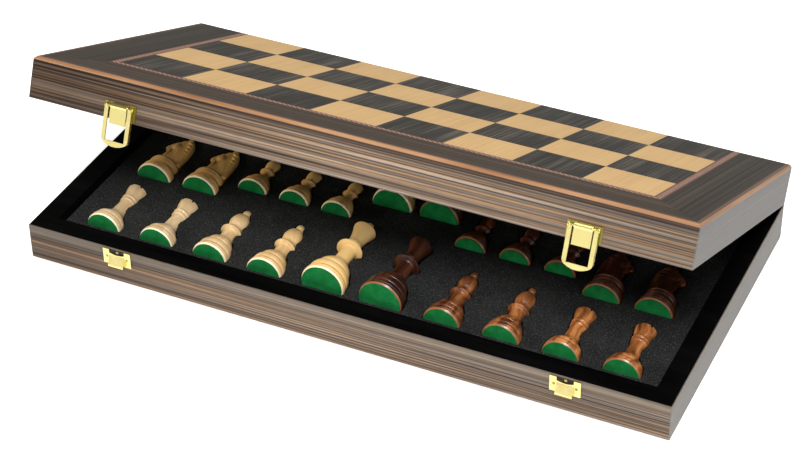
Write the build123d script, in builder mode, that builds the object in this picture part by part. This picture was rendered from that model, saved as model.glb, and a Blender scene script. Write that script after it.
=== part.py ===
"""Folding chess box: two hinged half boxes that open flat into a board, with a fitted foam tray of chessmen.

Millimetres and degrees, +Z up. The origin is the middle of the base's underside; the hinge is at the back
(+Y) and the latches at the front (-Y). The lid stands open by OPEN_ANGLE, which is the rest pose.
"""

import os
from itertools import pairwise
from math import cos, radians, sin

from build123d import *

os.makedirs("parts", exist_ok=True)

# ---- Board and boxes ---------------------------------------------------------------------------------
SQUARE = 45.0  # side of one square of the board
BORDER = 40.0  # plain border outside the squares, on the three sides away from the hinge
HALF_HEIGHT = 27.0  # height of each half box
WALL = 14.0  # wall thickness, veneer included
PANEL = 3.4  # panel that closes each half under its board face
VENEER = 0.6  # thickness of every veneer
INLAY_WIDTH = 5.5  # rope-pattern band between the squares and the border
EDGE_WIDTH = 4.0  # light edge line round the board face, over the face
EDGE_DEPTH = 2.0  # the same line, down the side
EDGE_CHAMFER = 1.6  # bevel along that line
JOINT = 0.1  # glue line between veneers that meet edge to edge

# ---- Hinges ------------------------------------------------------------------------------------------
OPEN_ANGLE = 23.4  # how far the lid stands open at rest
CLOSED_GAP = 0.2  # gap between the two rims when the lid is shut
HINGE_SETBACK = 0.15  # hinge axis behind the back faces
HINGE_INSET = 90.0  # middle of each hinge, in from the box's end
HINGE_LENGTH = 38.0
LEAF_WIDTH = 11.0
LEAF_THICKNESS = 1.0
KNUCKLE_RADIUS = 2.2
KNUCKLE_COUNT = 3
HINGE_PIN_RADIUS = 1.0
RUNNING_FIT = 0.05  # radial clearance round a pin
TURN_CLEARANCE = 0.3  # clearance round what turns
END_PLAY = 0.2  # gap between neighbouring knuckles
SCREW_HEAD_RADIUS = 2.1
SCREW_RADIUS = 1.1
SCREW_LENGTH = 9.0
SCREW_SPACING = 22.0  # the two screws of one leaf
SCREW_FROM_AXIS = 7.0

# ---- Latches -----------------------------------------------------------------------------------------
LATCH_INSET = 66.2  # middle of each latch, in from the box's end
BRASS = 0.8  # thickness of the latch's sheet brass
LATCH_PLATE_WIDTH = 22.0
LATCH_PLATE_LOW = 0.6  # plate's lower edge above the lid's rim
LATCH_PLATE_HIGH = 11.2
LATCH_AXIS_HEIGHT = 9.2  # hasp's pin above the hinge plane
LATCH_AXIS_OUT = 2.4  # hasp's pin in front of the wall
LATCH_ROLL_RADIUS = 1.7  # rolled eye of the plate
LATCH_PIN_RADIUS = 0.75
LATCH_PIN_HEAD = 1.1
TONGUE_WIDTH = 11.6
TONGUE_DROP = 2.2  # tongue's lower end below the hinge plane
HASP_WIDTH = 19.0
HASP_FLANGE = 2.7  # depth of the hasp's rim
HASP_BACK = 1.1  # hasp's rim in front of the wall
HASP_EYE_RADIUS = 1.35
HASP_SHOULDER = 13.0  # where the bow of the lower end would meet the straight sides, below the hinge plane
HASP_CORNER = 4.0  # rounding between a straight side and the bow
HASP_REACH = 16.4  # lowest point of the hasp
WINDOW_WIDTH = 13.6
CATCH_WIDTH = 20.0
CATCH_TOP = 1.0  # catch's upper edge below the hinge plane
CATCH_BOTTOM = 12.3
NOSE_WIDTH = 11.0
NOSE_OUT = 3.5  # how far the nose stands out of the wall
NOSE_BOTTOM = 12.5
NOSE_LIP = 1.4  # upright end of the nose, below its slope
HOOK_CLEARANCE = 0.4  # between the nose and the hasp's bar
NOTCH_DEPTH = 3.6  # the notch that the nose's metal was folded out of
NOTCH_BOW = 1.0  # how much deeper it is in the middle than at its sides
ROLL_SIDES = 10  # hinge knuckles and the latches' rolled eyes are drawn with this many flat sides
FASTENER_SIDES = 6  # screws, nails and pin heads likewise
NAIL_RADIUS = 0.6
NAIL_HEAD_RADIUS = 1.1
NAIL_HEAD = 0.35
NAIL_LENGTH = 8.0
NAIL_SPACING = 14.4  # the two nails through one plate

# ---- Foam --------------------------------------------------------------------------------------------
FOAM_BELOW_RIM = 6.5  # foam's face below the base's rim
FOAM_CLEARANCE = 0.3
POCKET_CLEARANCE = 0.3  # between a man and its pocket
POCKET_FOOT, POCKET_NECK = 0.95, 1.7  # where a pocket narrows, in foot radii from the felt
LINING = 11.0  # foam glued inside the lid

# ---- Chessmen ----------------------------------------------------------------------------------------
SIDES = 8  # the turned men are drawn with this many flat sides
FELT = 0.8  # green felt under each man
FELT_INSET = 0.9  # wood left bare round the felt
KING_HEIGHT, KING_RADIUS = 72.0, 14.8
QUEEN_HEIGHT, QUEEN_RADIUS = 62.0, 14.2
BISHOP_HEIGHT, BISHOP_RADIUS = 56.0, 12.4
KNIGHT_HEIGHT, KNIGHT_RADIUS = 47.0, 12.8
ROOK_HEIGHT, ROOK_RADIUS = 45.5, 12.4
PAWN_HEIGHT, PAWN_RADIUS = 37.0, 11.0
KING_LIFT = 2.2  # king's axis above the foam's face
QUEEN_LIFT = 0.0
MAN_LIFT = -2.0  # the other men's axis

FRONT_ROW = 10.0  # felts of the front row, behind the front wall's inner face
KNIGHT_ROW = 72.0
PAWN_ROW = 85.8
QUEEN_ROW = 106.8
BACK_ROW = 138.0
KING_FROM_MIDDLE = 20.0
ROOK_MARGIN = 26.4  # outer rook, in from the end wall's inner face
KNIGHT_MARGIN = 28.4
QUEEN_FROM_MIDDLE = 17.0
QUEEN_TO_PAWN = 5.8  # gap between the queen's and the next pawn's bases

# ---- Derived sizes -----------------------------------------------------------------------------------
FILES, RANKS = 8, 4
LENGTH = FILES * SQUARE + 2 * BORDER
DEPTH = RANKS * SQUARE + BORDER
HALF_LENGTH = LENGTH / 2
RIM = CLOSED_GAP / 2
FACE = RIM + HALF_HEIGHT
BACK = HINGE_SETBACK
FRONT = BACK + DEPTH
TRAY_HALF = HALF_LENGTH - WALL
TRAY_FRONT = -DEPTH / 2 + WALL
WALL_TOP = FACE - VENEER - PANEL
HINGE_AT = HALF_LENGTH - HINGE_INSET
LATCH_AT = HALF_LENGTH - LATCH_INSET
FOAM_FACE = HALF_HEIGHT - FOAM_BELOW_RIM

# Frames of the two half boxes: X along the hinge, Y from the hinge to the front, Z out of the board face.
hinge_point = (0, DEPTH / 2 + HINGE_SETBACK, HALF_HEIGHT + RIM)
tilt = radians(OPEN_ANGLE)
base_frame = Plane(origin=hinge_point, x_dir=(1, 0, 0), z_dir=(0, 0, -1))
lid_frame = Plane(origin=hinge_point, x_dir=(-1, 0, 0), z_dir=(0, sin(tilt), cos(tilt)))


def save(solid, name):
    """Label one sub-part and write its STEP file."""
    solid.label = name
    export_step(solid, f"parts/{name}.step")


def place(frame, x, y, z=0.0, **axes):
    """A plane at a point of a half box's frame, turned as the frame is or as axes say."""
    axes = {"x_dir": frame.x_dir, "z_dir": frame.z_dir} | axes
    return Plane(origin=frame.from_local_coords(Vector(x, y, z)), **axes)


def across(frame, x):
    """A plane square to the hinge axis at x: its X runs to the front, its Y out of the board face."""
    return place(frame, x, 0, x_dir=frame.y_dir, z_dir=frame.x_dir)


def front_plane(frame, x):
    """A plane on the front face at x: its Y runs away from the hinge plane, its Z out of the front face."""
    return place(frame, x, FRONT, x_dir=frame.x_dir * -1, z_dir=frame.y_dir)


def prism(plane, low, high, *points, mode=Mode.ADD):
    """A straight prism on a polygon, from low to high above the plane."""
    with BuildSketch(plane.offset(low)) as outline:
        with BuildLine():
            Polyline(*points, close=True)
        make_face()
    extrude(outline.sketch, amount=high - low, mode=mode)


def slab(plane, low, high, x_range, y_range, mode=Mode.ADD):
    """A rectangular block, from low to high above the plane."""
    (x0, x1), (y0, y1) = x_range, y_range
    prism(plane, low, high, (x0, y0), (x1, y0), (x1, y1), (x0, y1), mode=mode)


def turned(seat, profile, sides, mode=Mode.ADD):
    """A turned form along the seat's Z, drawn with flat sides that join (height, radius) rings."""
    rings = []
    for height, radius in profile:
        with BuildSketch(seat.offset(height)) as ring:
            RegularPolygon(radius, sides)
        rings.append(ring.sketch.face())
    faces = [rings[0], rings[-1]]
    for lower, upper in pairwise(rings):
        for a, b in zip(lower.outer_wire().edges(), upper.outer_wire().edges()):
            faces.append(Face(Wire.make_polygon([a @ 0, a @ 1, b @ 1, b @ 0])))
    add(Solid(Shell(faces)), mode=mode)


# ---- One half box ------------------------------------------------------------------------------------
def mitred_walls(frame, prefix, names):
    """Four mitred boards; the one at the hinge is let in for the leaves and cleared for the knuckles."""
    out = (HALF_LENGTH - VENEER, BACK + VENEER, FRONT - VENEER)
    inner = (TRAY_HALF, BACK + WALL, FRONT - WALL)
    rings = [[(-a, f), (a, f), (a, b), (-a, b)] for a, b, f in (out, inner)]
    for side, name in enumerate(names):
        after = (side + 1) % 4
        corners = (rings[0][side], rings[0][after], rings[1][after], rings[1][side])
        with BuildPart() as wall:
            prism(frame, RIM, WALL_TOP, *corners)
            if name == "back":
                hinge_seats(frame)
        save(wall.part, f"{prefix}_{name}_wall")


def hinge_seats(frame):
    """Cuts in a back wall or its veneer: a pocket for each leaf and room for each row of knuckles."""
    half = HINGE_LENGTH / 2
    pocket = (0, LEAF_WIDTH + JOINT)
    for x in (-HINGE_AT, HINGE_AT):
        slab(frame, 0, RIM + LEAF_THICKNESS, (x - half - JOINT, x + half + JOINT), pocket, Mode.SUBTRACT)
        with BuildSketch(across(frame, x - half - TURN_CLEARANCE)) as room:
            Circle(KNUCKLE_RADIUS + TURN_CLEARANCE)
        extrude(room.sketch, amount=HINGE_LENGTH + 2 * TURN_CLEARANCE, mode=Mode.SUBTRACT)


def board_panel(frame, prefix):
    """Panel glued over the walls, stepped in on three sides for the edge line."""
    side, step = HALF_LENGTH - VENEER, HALF_LENGTH - EDGE_WIDTH
    ledge = FACE - EDGE_DEPTH
    with BuildPart() as panel:
        slab(frame, WALL_TOP, ledge, (-side, side), (BACK + VENEER, FRONT - VENEER))
        slab(frame, ledge, FACE - VENEER, (-step, step), (BACK, FRONT - EDGE_WIDTH))
    save(panel.part, f"{prefix}_panel")


def side_veneer(frame, prefix):
    """Four veneer strips round the outside, the back one cut for the hinges."""
    end = HALF_LENGTH - VENEER - JOINT
    high = FACE - EDGE_DEPTH
    with BuildPart() as veneer:
        slab(frame, RIM, high, (-HALF_LENGTH, HALF_LENGTH), (FRONT - VENEER, FRONT))
        slab(frame, RIM, high, (-end, end), (BACK, BACK + VENEER))
        for side in (-1, 1):
            strip = (side * (HALF_LENGTH - VENEER), side * HALF_LENGTH)
            slab(frame, RIM, high, strip, (BACK, FRONT - VENEER - JOINT))
        hinge_seats(frame)
    save(veneer.part, f"{prefix}_side_veneer")


def three_sides(frame, outer, inner, low, high):
    """Mitred strips along the front and both ends, between two distances in from the outside."""
    front_out, front_in = FRONT - outer, FRONT - inner
    side_out, side_in = HALF_LENGTH - outer, HALF_LENGTH - inner
    prism(
        frame,
        low,
        high,
        (JOINT - side_out, front_out),
        (side_out - JOINT, front_out),
        (side_in - JOINT, front_in),
        (JOINT - side_in, front_in),
    )
    for side in (-1, 1):
        a, b = side * side_out, side * side_in
        prism(frame, low, high, (a, BACK), (a, front_out), (b, front_in), (b, BACK))


def edge_line(frame, prefix):
    """Light wood line let into the three outer edges of the board face, with a bevelled corner."""
    with BuildPart() as line:
        three_sides(frame, 0, EDGE_WIDTH, FACE - EDGE_DEPTH, FACE)

        def on_the_corner(edge):
            at = frame.to_local_coords(edge.center())
            outside = max(abs(at.X) - HALF_LENGTH, at.Y - FRONT)
            along = edge.length > 2 * EDGE_WIDTH
            return along and abs(outside) < JOINT / 2 and abs(at.Z - FACE) < JOINT / 2

        chamfer(line.edges().filter_by(on_the_corner), EDGE_CHAMFER)
    save(line.part, f"{prefix}_edge_line")


def board_face(frame, prefix):
    """The half board's veneers: border, rope inlay and the squares of both colours."""
    low = FACE - VENEER
    with BuildPart() as border:
        three_sides(frame, EDGE_WIDTH, BORDER - INLAY_WIDTH, low, FACE)
    save(border.part, f"{prefix}_border_veneer")

    with BuildPart() as inlay:
        three_sides(frame, BORDER - INLAY_WIDTH + JOINT, BORDER - JOINT, low, FACE)
    save(inlay.part, f"{prefix}_rope_inlay")

    for parity, colour in enumerate(("dark", "light")):
        cells = [(i, j) for i in range(FILES) for j in range(RANKS) if (i + j) % 2 == parity]
        spots = [((i + 0.5 - FILES / 2) * SQUARE, BACK + (j + 0.5) * SQUARE) for i, j in cells]
        with BuildPart() as squares:
            with BuildSketch(frame.offset(low)):
                with Locations(*spots):
                    Rectangle(SQUARE - JOINT, SQUARE - JOINT)
            extrude(amount=VENEER)
        save(squares.part, f"{prefix}_{colour}_squares")


def half_box(frame, prefix, wall_names):
    mitred_walls(frame, prefix, wall_names)
    board_panel(frame, prefix)
    side_veneer(frame, prefix)
    edge_line(frame, prefix)
    board_face(frame, prefix)


half_box(base_frame, "base", ("front", "right", "back", "left"))
half_box(lid_frame, "lid", ("front", "left", "back", "right"))


# ---- Hinges ------------------------------------------------------------------------------------------
KNUCKLE_PITCH = HINGE_LENGTH / KNUCKLE_COUNT


def screw_planes(frame):
    """Where the leaves' screws go in, seen from the rim: each plane's Z points out of the screw's head."""
    spots = [x + s * SCREW_SPACING / 2 for x in (-HINGE_AT, HINGE_AT) for s in (-1, 1)]
    return [place(frame, x, SCREW_FROM_AXIS, RIM, z_dir=frame.z_dir * -1) for x in spots]


def screw_profile(clearance):
    """Countersunk head and shank, from the head's face down; the head is a 45 degree cone."""
    head, shank = SCREW_HEAD_RADIUS + clearance, SCREW_RADIUS + clearance
    return [(0, head), (shank - head, shank), (-SCREW_LENGTH, shank)]


def hinge_leaves(frame, prefix, first):
    """Both leaves of one half, each with every other knuckle, from knuckle number first on."""
    with BuildPart() as leaves:
        for x in (-HINGE_AT, HINGE_AT):
            start = x - HINGE_LENGTH / 2
            plate = (KNUCKLE_RADIUS + TURN_CLEARANCE, LEAF_WIDTH)
            slab(frame, RIM, RIM + LEAF_THICKNESS, (start, start + HINGE_LENGTH), plate)
            for knuckle in range(first, KNUCKLE_COUNT, 2):
                low = start + knuckle * KNUCKLE_PITCH + (END_PLAY / 2 if knuckle else 0)
                last = knuckle == KNUCKLE_COUNT - 1
                high = start + (knuckle + 1) * KNUCKLE_PITCH - (0 if last else END_PLAY / 2)
                slab(frame, RIM, RIM + LEAF_THICKNESS, (low, high), (0, LEAF_WIDTH))
                with BuildSketch(across(frame, low)) as ring:
                    RegularPolygon(KNUCKLE_RADIUS, ROLL_SIDES)
                extrude(ring.sketch, amount=high - low)
            with BuildSketch(across(frame, start)) as bore:
                Circle(HINGE_PIN_RADIUS + RUNNING_FIT)
            extrude(bore.sketch, amount=HINGE_LENGTH, mode=Mode.SUBTRACT)
        for plane in screw_planes(frame):
            turned(plane, screw_profile(RUNNING_FIT), FASTENER_SIDES, Mode.SUBTRACT)
    save(leaves.part, f"{prefix}_hinge_leaves")


def hinge_screws(frame, prefix):
    """Countersunk screws, their heads flush with the leaves."""
    with BuildPart() as screws:
        for plane in screw_planes(frame):
            turned(plane, screw_profile(0), FASTENER_SIDES)
    save(screws.part, f"{prefix}_hinge_screws")


hinge_leaves(base_frame, "base", 0)
hinge_leaves(lid_frame, "lid", 1)
hinge_screws(base_frame, "base")
hinge_screws(lid_frame, "lid")

with BuildPart() as hinge_pins:
    for hinge_x in (-HINGE_AT, HINGE_AT):
        with BuildSketch(across(base_frame, hinge_x - HINGE_LENGTH / 2)) as pin:
            Circle(HINGE_PIN_RADIUS)
        extrude(pin.sketch, amount=HINGE_LENGTH)
save(hinge_pins.part, "hinge_pins")


# ---- Latches -----------------------------------------------------------------------------------------
def beside(plane, x):
    """A plane square to the latch's pin at x: its X runs out of the front face, its Y along the latch."""
    return Plane(origin=plane.from_local_coords(Vector(x, 0, 0)), x_dir=plane.z_dir, z_dir=plane.x_dir * -1)


def bar_across(plane, radius, width, mode=Mode.ADD):
    """A round bar along the latch's pin, centred on the latch."""
    with BuildSketch(beside(plane, width / 2)) as section:
        with Locations((LATCH_AXIS_OUT, LATCH_AXIS_HEIGHT)):
            Circle(radius)
    extrude(section.sketch, amount=width, mode=mode)


def roll(plane, radius, start, width):
    """A rolled eye round the latch's pin, drawn with flat sides, from x = start on."""
    with BuildSketch(beside(plane, start)) as section:
        with Locations((LATCH_AXIS_OUT, LATCH_AXIS_HEIGHT)):
            RegularPolygon(radius, ROLL_SIDES)
    extrude(section.sketch, amount=width)


def nail_spots(height):
    return [(side * NAIL_SPACING / 2, height) for side in (-1, 1)]


def nail_holes(plane, spots):
    with BuildSketch(plane) as holes:
        with Locations(*spots):
            RegularPolygon(NAIL_RADIUS + RUNNING_FIT, FASTENER_SIDES)
    extrude(holes.sketch, amount=BRASS, mode=Mode.SUBTRACT)


def nails(plane, out, spots):
    """Round-headed nails driven into the wall, their heads on what stands this far out from its face."""
    for x, y in spots:
        seat = Plane(origin=plane.from_local_coords(Vector(x, y, out)), x_dir=plane.x_dir, z_dir=plane.z_dir)
        turned(seat, [(0, NAIL_HEAD_RADIUS), (NAIL_HEAD, NAIL_RADIUS)], FASTENER_SIDES)
        turned(seat, [(0, NAIL_RADIUS), (-NAIL_LENGTH, NAIL_RADIUS)], FASTENER_SIDES)


lid_fronts = [front_plane(lid_frame, x) for x in (LATCH_AT, -LATCH_AT)]
base_fronts = [front_plane(base_frame, x) for x in (-LATCH_AT, LATCH_AT)]
PLATE_BOTTOM = RIM + LATCH_PLATE_LOW
PLATE_NAILS = nail_spots((PLATE_BOTTOM + LATCH_AXIS_HEIGHT - LATCH_ROLL_RADIUS) / 2)
CATCH_NAILS = nail_spots((CATCH_TOP + CATCH_BOTTOM) / 2)

with BuildPart() as latch_plates:
    for front in lid_fronts:
        half_width = LATCH_PLATE_WIDTH / 2
        half_tongue = TONGUE_WIDTH / 2
        slab(front, 0, BRASS, (-half_width, half_width), (PLATE_BOTTOM, LATCH_PLATE_HIGH))
        roll(front, LATCH_ROLL_RADIUS, half_tongue, TONGUE_WIDTH)
        tongue_out = LATCH_AXIS_OUT + BRASS
        tongue_length = (-TONGUE_DROP, LATCH_AXIS_HEIGHT)
        slab(front, tongue_out - BRASS, tongue_out, (-half_tongue, half_tongue), tongue_length)
        bar_across(front, LATCH_PIN_RADIUS + RUNNING_FIT, TONGUE_WIDTH, Mode.SUBTRACT)
        nail_holes(front, PLATE_NAILS)
save(latch_plates.part, "latch_plates")

with BuildPart() as latch_pins:
    for front in lid_fronts:
        bar_across(front, LATCH_PIN_RADIUS, HASP_WIDTH + 2 * RUNNING_FIT)
        for side in (-1, 1):
            head_at = side * (HASP_WIDTH / 2 + RUNNING_FIT)
            with BuildSketch(beside(front, head_at)) as pin_head:
                with Locations((LATCH_AXIS_OUT, LATCH_AXIS_HEIGHT)):
                    RegularPolygon(LATCH_PIN_HEAD, FASTENER_SIDES)
            extrude(pin_head.sketch, amount=-side * BRASS / 2)
save(latch_pins.part, "latch_pins")

with BuildPart() as latch_plate_nails:
    for front in lid_fronts:
        nails(front, BRASS, PLATE_NAILS)
save(latch_plate_nails.part, "latch_plate_nails")


def hasp_outline(plane, inset):
    """The hasp's outline, drawn in by inset: straight sides and a bowed lower end."""
    x = HASP_WIDTH / 2 - inset
    top, shoulder, reach = LATCH_AXIS_HEIGHT, -HASP_SHOULDER, inset - HASP_REACH
    with BuildSketch(plane) as outline:
        with BuildLine():
            Polyline((-x, shoulder), (-x, top), (x, top), (x, shoulder))
            ThreePointArc((x, shoulder), (0, reach), (-x, shoulder))
        make_face()
        fillet(outline.vertices().group_by(Axis.Y)[0], HASP_CORNER - inset)
    return outline.sketch


def hasp(front):
    """Sheet brass loop with a turned-in rim, an eye at the top of each side and a window over the nose."""
    face = HASP_BACK + HASP_FLANGE
    window = (-WINDOW_WIDTH / 2, WINDOW_WIDTH / 2)
    inside = HASP_WIDTH / 2 - BRASS
    extrude(hasp_outline(front.offset(HASP_BACK), 0), amount=HASP_FLANGE)
    extrude(hasp_outline(front.offset(HASP_BACK), BRASS), amount=HASP_FLANGE - BRASS, mode=Mode.SUBTRACT)
    slab(front, HASP_BACK, face, window, (-NOSE_BOTTOM - HOOK_CLEARANCE, LATCH_AXIS_HEIGHT), Mode.SUBTRACT)
    open_end = (LATCH_AXIS_HEIGHT - BRASS, LATCH_AXIS_HEIGHT)
    slab(front, HASP_BACK, face - BRASS, (-inside, inside), open_end, Mode.SUBTRACT)
    for side in (-1, 1):
        roll(front, HASP_EYE_RADIUS, side * HASP_WIDTH / 2, side * BRASS)
    bar_across(front, LATCH_PIN_RADIUS + RUNNING_FIT, HASP_WIDTH, Mode.SUBTRACT)


with BuildPart() as left_hasp:
    hasp(lid_fronts[0])
save(left_hasp.part, "left_hasp")

with BuildPart() as right_hasp:
    hasp(lid_fronts[1])
save(right_hasp.part, "right_hasp")

with BuildPart() as latch_catches:
    for front in base_fronts:
        half_width, half_nose = CATCH_WIDTH / 2, NOSE_WIDTH / 2
        slab(front, 0, BRASS, (-half_width, half_width), (CATCH_TOP, CATCH_BOTTOM))
        with BuildSketch(front) as notch:
            deep = CATCH_TOP + NOTCH_DEPTH
            low, high = deep - NOTCH_BOW, CATCH_TOP
            with BuildLine():
                Polyline((-half_nose, low), (-half_nose, high), (half_nose, high), (half_nose, low))
                ThreePointArc((half_nose, low), (0, deep), (-half_nose, low))
            make_face()
        extrude(notch.sketch, amount=BRASS, mode=Mode.SUBTRACT)
        fold, lip_top = deep + BRASS / 2, NOSE_BOTTOM - NOSE_LIP
        nose = [(0, fold), (BRASS, fold), (NOSE_OUT, lip_top), (NOSE_OUT, NOSE_BOTTOM), (0, NOSE_BOTTOM)]
        prism(beside(front, half_nose), 0, NOSE_WIDTH, *nose)
        nail_holes(front, CATCH_NAILS)
save(latch_catches.part, "latch_catches")

with BuildPart() as catch_nails:
    for front in base_fronts:
        nails(front, BRASS, CATCH_NAILS)
        nails(front, 0, [(0, CATCH_TOP + NOTCH_DEPTH / 2)])
save(catch_nails.part, "catch_nails")


# ---- Chessmen ----------------------------------------------------------------------------------------
# Each man lies on its side with its felt to the front. Its seat is a plane on the felt's outer face, whose Z
# runs along the man to its tip. Profiles are (distance from the seat, radius) pairs up the turning.
def pedestal(radius, neck, neck_height):
    """Stepped and domed foot that every man shares, up to the narrow neck."""
    return [
        (FELT, radius),
        (0.34 * radius, radius),
        (0.92 * radius, 0.88 * radius),
        (1.42 * radius, 0.68 * radius),
        (neck_height, neck),
    ]


def king_profile(height, radius):
    collar = 0.56 * height
    return pedestal(radius, 0.32 * radius, 0.38 * height) + [
        (0.51 * height, 0.31 * radius),
        (collar, 0.57 * radius),
        (collar + 2.0, 0.57 * radius),
        (0.69 * height, 0.33 * radius),
        (0.865 * height, 0.5 * radius),
        (0.91 * height, 0.32 * radius),
    ]


def queen_profile(height, radius):
    collar = 0.56 * height
    return pedestal(radius, 0.31 * radius, 0.42 * height) + [
        (0.51 * height, 0.31 * radius),
        (collar, 0.55 * radius),
        (collar + 1.8, 0.55 * radius),
        (0.69 * height, 0.33 * radius),
        (0.89 * height, 0.53 * radius),
        (0.92 * height, 0.34 * radius),
    ]


def bishop_profile(height, radius):
    collar = 0.55 * height
    return pedestal(radius, 0.38 * radius, 0.43 * height) + [
        (collar, 0.58 * radius),
        (collar + 1.4, 0.58 * radius),
        (0.63 * height, 0.36 * radius),
        (0.71 * height, 0.5 * radius),
        (0.81 * height, 0.47 * radius),
        (0.905 * height, 0.15 * radius),
        (0.955 * height, 0.2 * radius),
        (height, 0.1 * radius),
    ]


def rook_profile(height, radius):
    return pedestal(radius, 0.37 * radius, 0.54 * height) + [
        (0.65 * height, 0.35 * radius),
        (0.7 * height, 0.43 * radius),
        (0.8 * height, 0.44 * radius),
        (0.97 * height, 0.54 * radius),
        (height, 0.52 * radius),
    ]


def pawn_profile(height, radius):
    ball = 0.5 * radius
    middle = height - ball
    return pedestal(radius, 0.33 * radius, 0.53 * height) + [
        (0.58 * height, 0.5 * radius),
        (0.63 * height, 0.36 * radius),
        (middle - 0.4 * ball, 0.9 * ball),
        (middle + 0.3 * ball, 0.95 * ball),
        (height, 0.35 * ball),
    ]


def knight_profile(height, radius):
    return [
        (FELT, radius),
        (0.3 * radius, radius),
        (0.66 * radius, 0.92 * radius),
        (0.78 * radius, 0.74 * radius),
        (1.0 * radius, 0.86 * radius),
        (1.24 * radius, 0.82 * radius),
        (1.4 * radius, 0.66 * radius),
    ]


def bar(seat, low, high, half_width, half_depth):
    slab(seat, low, high, (-half_width, half_width), (-half_depth, half_depth))


def king(seat):
    turned(seat, king_profile(KING_HEIGHT, KING_RADIUS), SIDES)
    arm = 0.17 * KING_RADIUS
    bar(seat, 0.9 * KING_HEIGHT, KING_HEIGHT, 0.5 * arm, 0.5 * arm)
    bar(seat, 0.945 * KING_HEIGHT, 0.975 * KING_HEIGHT, arm, 0.5 * arm)


def queen(seat):
    turned(seat, queen_profile(QUEEN_HEIGHT, QUEEN_RADIUS), SIDES)
    ball = 0.14 * QUEEN_RADIUS
    finial = [(0.915 * QUEEN_HEIGHT, ball), (0.97 * QUEEN_HEIGHT, ball), (QUEEN_HEIGHT, 0.5 * ball)]
    turned(seat, finial, SIDES)


def bishop(seat):
    turned(seat, bishop_profile(BISHOP_HEIGHT, BISHOP_RADIUS), SIDES)


def rook(seat):
    """Turned tower whose cup is hollowed and notched round its rim."""
    turned(seat, rook_profile(ROOK_HEIGHT, ROOK_RADIUS), SIDES)
    cup, notch = 0.38 * ROOK_RADIUS, 0.07 * ROOK_HEIGHT
    with BuildSketch(seat.offset(ROOK_HEIGHT)) as well:
        RegularPolygon(cup, SIDES)
    extrude(well.sketch, amount=-1.4 * notch, mode=Mode.SUBTRACT)
    with BuildSketch(seat.offset(ROOK_HEIGHT)) as slots:
        with PolarLocations(0, 2, start_angle=45, angular_range=180):
            Rectangle(2 * ROOK_RADIUS, 0.16 * ROOK_RADIUS)
    extrude(slots.sketch, amount=-notch, mode=Mode.SUBTRACT)


def pawn(seat):
    turned(seat, pawn_profile(PAWN_HEIGHT, PAWN_RADIUS), SIDES)


def knight(seat):
    """Turned foot with a carved horse's head that looks along the seat's X."""
    h, r = KNIGHT_HEIGHT, KNIGHT_RADIUS
    turned(seat, knight_profile(h, r), SIDES)
    side_view = Plane(origin=seat.origin, x_dir=seat.x_dir, z_dir=seat.y_dir * -1)
    head = [
        (-0.6 * r, 0.36 * h),
        (-0.72 * r, 0.55 * h),
        (-0.68 * r, 0.78 * h),
        (-0.45 * r, 0.93 * h),
        (-0.1 * r, h),
        (0.04 * r, 0.93 * h),
        (0.36 * r, 0.87 * h),
        (0.8 * r, 0.76 * h),
        (0.8 * r, 0.66 * h),
        (0.4 * r, 0.66 * h),
        (0.54 * r, 0.5 * h),
        (0.6 * r, 0.36 * h),
    ]
    half_thick = 0.42 * r
    prism(side_view, -half_thick, half_thick, *head)


PAWN_FIRST = QUEEN_FROM_MIDDLE + QUEEN_RADIUS + QUEEN_TO_PAWN + PAWN_RADIUS
KNIGHT_LAST = TRAY_HALF - KNIGHT_MARGIN
BACK_PITCH = (KNIGHT_LAST - PAWN_FIRST) / 4


def even_row(first, last, radii):
    """Middles of a row of feet with equal gaps between them."""
    feet = sum(a + b for a, b in pairwise(radii))
    gap = (last - first - feet) / (len(radii) - 1)
    middles = [first]
    for a, b in pairwise(radii):
        middles.append(middles[-1] + a + gap + b)
    return middles


front_radii = [KING_RADIUS] + 2 * [BISHOP_RADIUS] + 2 * [ROOK_RADIUS]
front_x = even_row(KING_FROM_MIDDLE, TRAY_HALF - ROOK_MARGIN, front_radii)
second_x = even_row(PAWN_FIRST, KNIGHT_LAST, 3 * [PAWN_RADIUS] + 2 * [KNIGHT_RADIUS])

# For each kind: how it is built, its height, its foot's radius, half the pocket's width at the head as a
# share of that radius, the lift of its axis over the foam, and its (x, row) places in the tray's right half.
MEN = {
    "king": (king, KING_HEIGHT, KING_RADIUS, 0.6, KING_LIFT, [(front_x[0], FRONT_ROW)]),
    "queen": (queen, QUEEN_HEIGHT, QUEEN_RADIUS, 0.58, QUEEN_LIFT, [(QUEEN_FROM_MIDDLE, QUEEN_ROW)]),
    "bishops": (
        bishop,
        BISHOP_HEIGHT,
        BISHOP_RADIUS,
        0.62,
        MAN_LIFT,
        [(x, FRONT_ROW) for x in front_x[1:3]],
    ),
    "rooks": (
        rook,
        ROOK_HEIGHT,
        ROOK_RADIUS,
        0.58,
        MAN_LIFT,
        [(x, FRONT_ROW) for x in front_x[3:]],
    ),
    "knights": (
        knight,
        KNIGHT_HEIGHT,
        KNIGHT_RADIUS,
        0.88,
        MAN_LIFT,
        [(x, KNIGHT_ROW) for x in second_x[3:]],
    ),
    "pawns": (
        pawn,
        PAWN_HEIGHT,
        PAWN_RADIUS,
        0.54,
        MAN_LIFT,
        [(x, PAWN_ROW) for x in second_x[:3]] + [(PAWN_FIRST + BACK_PITCH * k, BACK_ROW) for k in range(5)],
    ),
}


def seat_at(side, lift, spot):
    """The plane on a man's felt, left of the middle (side -1) or right of it (1); its X runs outwards."""
    x, row = spot
    origin = (side * x, TRAY_FRONT + row, FOAM_FACE + lift)
    return Plane(origin=origin, x_dir=(side, 0, 0), z_dir=(0, 1, 0))


COLOURS = {"white": -1, "dark": 1}

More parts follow.
